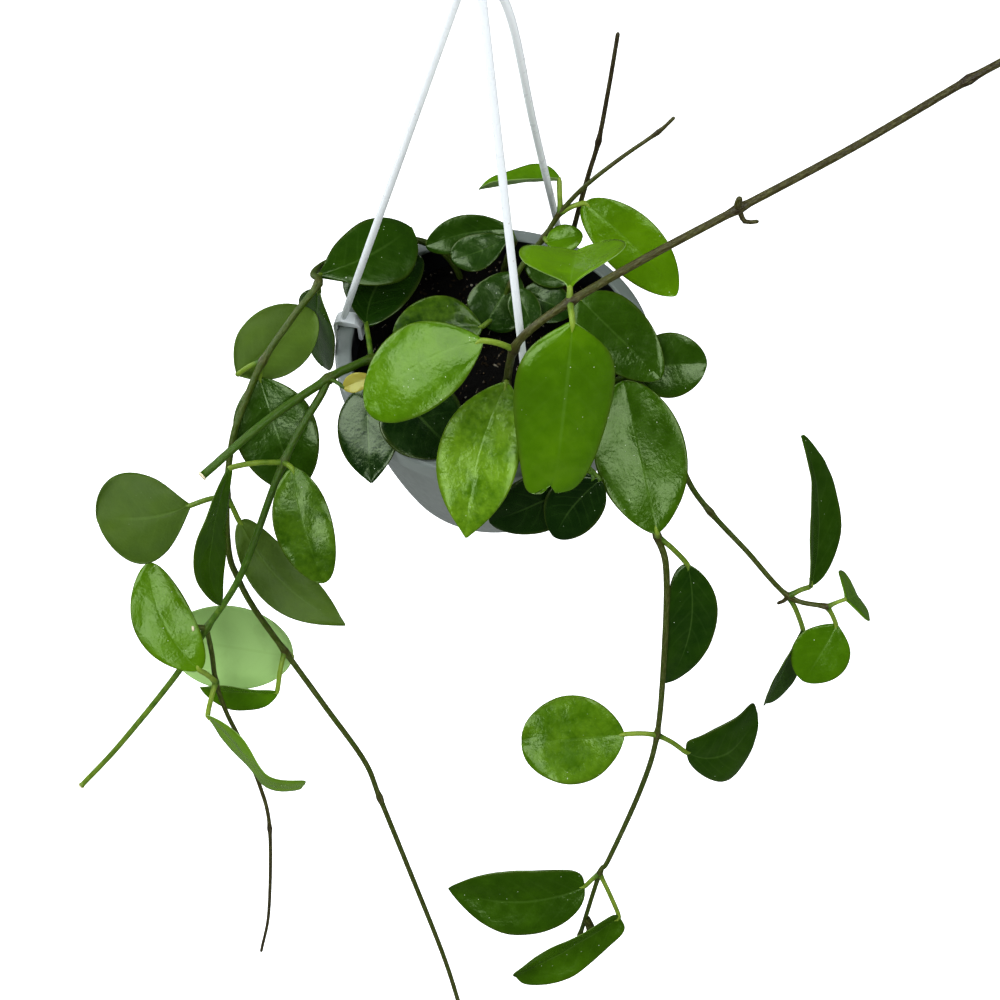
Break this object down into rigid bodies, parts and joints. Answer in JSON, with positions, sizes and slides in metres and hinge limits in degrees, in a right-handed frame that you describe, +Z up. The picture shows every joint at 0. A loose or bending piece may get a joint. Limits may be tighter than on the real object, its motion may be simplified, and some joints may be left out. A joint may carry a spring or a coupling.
{
  "type": "potted hoya plant",
  "caption": "Trailing hoya with thick waxy leaves, growing in a bowl-shaped hanging pot on a clip-on hanger with an open hook.",
  "frame": {"origin": "the inner top of the hook, where it rests on the hook, rod or bracket that carries it", "axes": "+Z up through the hub; -Y towards the viewer and the side that the stems trail to; +X to the viewer's right"},
  "size_m": [0.4206, 0.3656, 0.5391],
  "materials": {
    "pot_plastic": "satin charcoal plastic",
    "soil": "coarse moist peat mix",
    "hanger_plastic": "satin white plastic",
    "bare_stem": "woody purple-brown stem",
    "young_leaf": "waxy, glossy young leaf",
    "mature_leaf": "waxy, satin mature leaf"
  },
  "bodies": {
    "root": {"pot": "pot_plastic", "soil": "soil", "hanger_hook": "hanger_plastic", "strand_left": "hanger_plastic", "strand_front": "hanger_plastic", "strand_back": "hanger_plastic", "bare_shoot": "bare_stem", "back_shoot": "young_leaf", "long_shoot": "young_leaf", "inner_shoot": "mature_leaf", "left_shoot": "mature_leaf", "left_trailer": "mature_leaf", "front_left_shoot": "mature_leaf", "front_shoot": "mature_leaf", "front_right_trailer": "mature_leaf", "right_trailer": "mature_leaf", "rear_shoot": "mature_leaf"}
  },
  "joints": []
}
